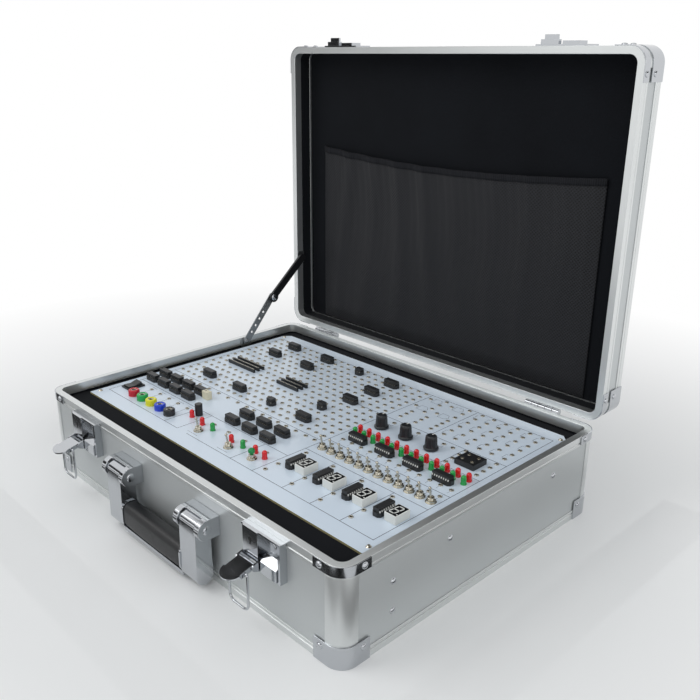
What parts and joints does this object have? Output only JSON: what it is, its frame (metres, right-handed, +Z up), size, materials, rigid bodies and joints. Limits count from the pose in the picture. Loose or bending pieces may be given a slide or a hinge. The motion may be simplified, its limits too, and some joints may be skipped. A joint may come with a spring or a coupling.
{
  "type": "digital logic trainer",
  "caption": "Digital logic trainer in an aluminium carrying case, with sockets, switches, LEDs, displays and logic circuits on a board, and a hinged lid with a mesh pocket.",
  "frame": {"origin": "centre of the base's underside, on the table", "axes": "+Z up, +X to the right along the front, +Y from the front to the hinges"},
  "size_m": [0.464, 0.4216, 0.4527],
  "materials": {
    "panel": "satin silver sheet laminated on the panel",
    "profile": "satin anodised extrusion",
    "chrome": "bright plated steel",
    "stay_steel": "plain zinc-plated strip",
    "stay_black": "satin black channel",
    "lining": "black felt-like lining on board",
    "mesh": "gathered black nylon mesh with a bound hem",
    "grip": "black moulded grip",
    "board": "light blue printed circuit laminate with a khaki edge",
    "ic_black": "moulded black epoxy",
    "display": "white display body with a black face",
    "led_red": "red diffused LED",
    "led_green": "green diffused LED",
    "nickel": "nickel-plated brass",
    "module_black": "black moulded body",
    "switch_black": "black moulded lever",
    "button_green": "green moulded button",
    "knob": "black fluted knob",
    "supply": "folded sheet housing",
    "socket_red": "red moulded socket",
    "socket_green": "green moulded socket",
    "socket_yellow": "yellow moulded socket",
    "socket_blue": "blue moulded socket",
    "socket_black": "black moulded socket"
  },
  "bodies": {
    "base": {"base_panels": "panel", "base_profiles": "profile", "base_corner_caps": "chrome", "base_lining": "lining", "trainer_board": "board", "board_fixings": "nickel", "power_supply": "supply", "mains_inlet": "module_black", "socket_red": "socket_red", "socket_green": "socket_green", "socket_yellow": "socket_yellow", "socket_blue": "socket_blue", "socket_black": "socket_black", "logic_ics": "ic_black", "pin_strips": "module_black", "display_housings": "display", "leds_red": "led_red", "leds_green": "led_green", "eyelets": "nickel", "switch_bushings": "nickel", "board_modules": "module_black", "latch_bases": "chrome", "handle_brackets": "chrome", "hinge_base_leaves": "chrome", "stay_base_bracket": "stay_steel"},
    "lid": {"lid_panels": "panel", "lid_profiles": "profile", "lid_corner_caps": "chrome", "lid_lining": "lining", "mesh_pocket": "mesh", "lid_catches": "chrome", "hinge_lid_leaves": "chrome", "stay_lid_bracket": "stay_steel"},
    "stay_lower": {"stay_lower_arm": "stay_steel"},
    "stay_upper": {"stay_upper_arm": "stay_black"},
    "lever_left": {"latch_lever_left": "chrome"},
    "bail_left": {"latch_bail_left": "chrome"},
    "lever_right": {"latch_lever_right": "chrome"},
    "bail_right": {"latch_bail_right": "chrome"},
    "handle": {"handle_frame": "chrome", "handle_grip": "grip"},
    "power_rocker": {"rocker": "switch_black"},
    "button": {"push_button": "button_green"},
    "knob_1_body": {"knob_1": "knob"},
    "knob_2_body": {"knob_2": "knob"},
    "knob_3_body": {"knob_3": "knob"},
    "data_toggle_1_lever": {"data_toggle_1": "nickel"},
    "data_toggle_2_lever": {"data_toggle_2": "nickel"},
    "data_toggle_3_lever": {"data_toggle_3": "nickel"},
    "data_toggle_4_lever": {"data_toggle_4": "nickel"},
    "data_toggle_5_lever": {"data_toggle_5": "nickel"},
    "data_toggle_6_lever": {"data_toggle_6": "nickel"},
    "data_toggle_7_lever": {"data_toggle_7": "nickel"},
    "data_toggle_8_lever": {"data_toggle_8": "nickel"},
    "data_toggle_9_lever": {"data_toggle_9": "nickel"},
    "data_toggle_10_lever": {"data_toggle_10": "nickel"},
    "data_toggle_11_lever": {"data_toggle_11": "nickel"},
    "data_toggle_12_lever": {"data_toggle_12": "nickel"},
    "source_toggle_1_lever": {"source_toggle_1": "nickel"},
    "source_toggle_2_lever": {"source_toggle_2": "nickel"}
  },
  "joints": [
    {"name": "lid_hinge", "type": "hinge", "parent": "base", "child": "lid", "pos_m": [0, 0.1774, 0.09125], "axis": [1, 0, 0], "range_deg": [0, 90]},
    {"name": "stay_lower_pivot", "type": "hinge", "parent": "base", "child": "stay_lower", "pos_m": [0, 0.0874, 0.08625], "axis": [1, 0, 0], "range_deg": [0, 126.68]},
    {"name": "stay_elbow", "type": "hinge", "parent": "stay_lower", "child": "stay_upper", "pos_m": [0, 0.13094, 0.13718], "axis": [1, 0, 0], "range_deg": [-163.96, 0]},
    {"name": "latch_lever_left", "type": "hinge", "parent": "base", "child": "lever_left", "pos_m": [-0.156, -0.186, 0.057], "axis": [1, 0, 0], "range_deg": [-105, 0]},
    {"name": "latch_bail_left", "type": "hinge", "parent": "lever_left", "child": "bail_left", "pos_m": [-0.156, -0.19482, 0.05515], "axis": [1, 0, 0], "range_deg": [-81, 0]},
    {"name": "latch_lever_right", "type": "hinge", "parent": "base", "child": "lever_right", "pos_m": [0.134, -0.186, 0.057], "axis": [1, 0, 0], "range_deg": [-105, 0]},
    {"name": "latch_bail_right", "type": "hinge", "parent": "lever_right", "child": "bail_right", "pos_m": [0.134, -0.19482, 0.05515], "axis": [1, 0, 0], "range_deg": [-81, 0]},
    {"name": "handle_swing", "type": "hinge", "parent": "base", "child": "handle", "pos_m": [0, -0.1865, 0.061], "axis": [1, 0, 0], "range_deg": [-100, 0]},
    {"name": "rocker_tip", "type": "hinge", "parent": "base", "child": "power_rocker", "pos_m": [-0.1955, -0.093, 0.081], "axis": [1, 0, 0], "range_deg": [-14, 0]},
    {"name": "button_press", "type": "slide", "parent": "base", "child": "button", "axis": [0, 0, 1], "range_m": [-0.0015, 0], "stiffness_N_per_m": 50, "springref_m": 0.001},
    {"name": "knob_1_turn", "type": "hinge", "parent": "base", "child": "knob_1_body", "pos_m": [0.071, 0.034, 0.081], "axis": [0, 0, 1], "range_deg": [-150, 150]},
    {"name": "knob_2_turn", "type": "hinge", "parent": "base", "child": "knob_2_body", "pos_m": [0.1035, 0.034, 0.081], "axis": [0, 0, 1], "range_deg": [-150, 150]},
    {"name": "knob_3_turn", "type": "hinge", "parent": "base", "child": "knob_3_body", "pos_m": [0.136, 0.034, 0.081], "axis": [0, 0, 1], "range_deg": [-150, 150]},
    {"name": "data_toggle_1_tip", "type": "hinge", "parent": "base", "child": "data_toggle_1_lever", "pos_m": [0.064, -0.0405, 0.0839], "axis": [1, 0, 0], "range_deg": [-20, 0]},
    {"name": "data_toggle_2_tip", "type": "hinge", "parent": "base", "child": "data_toggle_2_lever", "pos_m": [0.0763, -0.0405, 0.0839], "axis": [1, 0, 0], "range_deg": [-20, 0]},
    {"name": "data_toggle_3_tip", "type": "hinge", "parent": "base", "child": "data_toggle_3_lever", "pos_m": [0.0886, -0.0405, 0.0839], "axis": [1, 0, 0], "range_deg": [-20, 0]},
    {"name": "data_toggle_4_tip", "type": "hinge", "parent": "base", "child": "data_toggle_4_lever", "pos_m": [0.1009, -0.0405, 0.0839], "axis": [1, 0, 0], "range_deg": [-20, 0]},
    {"name": "data_toggle_5_tip", "type": "hinge", "parent": "base", "child": "data_toggle_5_lever", "pos_m": [0.1132, -0.0405, 0.0839], "axis": [1, 0, 0], "range_deg": [-20, 0]},
    {"name": "data_toggle_6_tip", "type": "hinge", "parent": "base", "child": "data_toggle_6_lever", "pos_m": [0.1255, -0.0405, 0.0839], "axis": [1, 0, 0], "range_deg": [-20, 0]},
    {"name": "data_toggle_7_tip", "type": "hinge", "parent": "base", "child": "data_toggle_7_lever", "pos_m": [0.1378, -0.0405, 0.0839], "axis": [1, 0, 0], "range_deg": [-20, 0]},
    {"name": "data_toggle_8_tip", "type": "hinge", "parent": "base", "child": "data_toggle_8_lever", "pos_m": [0.1501, -0.0405, 0.0839], "axis": [1, 0, 0], "range_deg": [-20, 0]},
    {"name": "data_toggle_9_tip", "type": "hinge", "parent": "base", "child": "data_toggle_9_lever", "pos_m": [0.1624, -0.0405, 0.0839], "axis": [1, 0, 0], "range_deg": [-20, 0]},
    {"name": "data_toggle_10_tip", "type": "hinge", "parent": "base", "child": "data_toggle_10_lever", "pos_m": [0.1747, -0.0405, 0.0839], "axis": [1, 0, 0], "range_deg": [-20, 0]},
    {"name": "data_toggle_11_tip", "type": "hinge", "parent": "base", "child": "data_toggle_11_lever", "pos_m": [0.187, -0.0405, 0.0839], "axis": [1, 0, 0], "range_deg": [-20, 0]},
    {"name": "data_toggle_12_tip", "type": "hinge", "parent": "base", "child": "data_toggle_12_lever", "pos_m": [0.1993, -0.0405, 0.0839], "axis": [1, 0, 0], "range_deg": [-20, 0]},
    {"name": "source_toggle_1_tip", "type": "hinge", "parent": "base", "child": "source_toggle_1_lever", "pos_m": [-0.049, -0.105, 0.0839], "axis": [1, 0, 0], "range_deg": [-20, 0]},
    {"name": "source_toggle_2_tip", "type": "hinge", "parent": "base", "child": "source_toggle_2_lever", "pos_m": [0.001, -0.105, 0.0839], "axis": [1, 0, 0], "range_deg": [-20, 0]}
  ],
  "couplings": [
    {"joint": "stay_lower_pivot", "follows": "lid_hinge", "ratio": 1.4075},
    {"joint": "stay_elbow", "follows": "lid_hinge", "ratio": -1.8217}
  ]
}
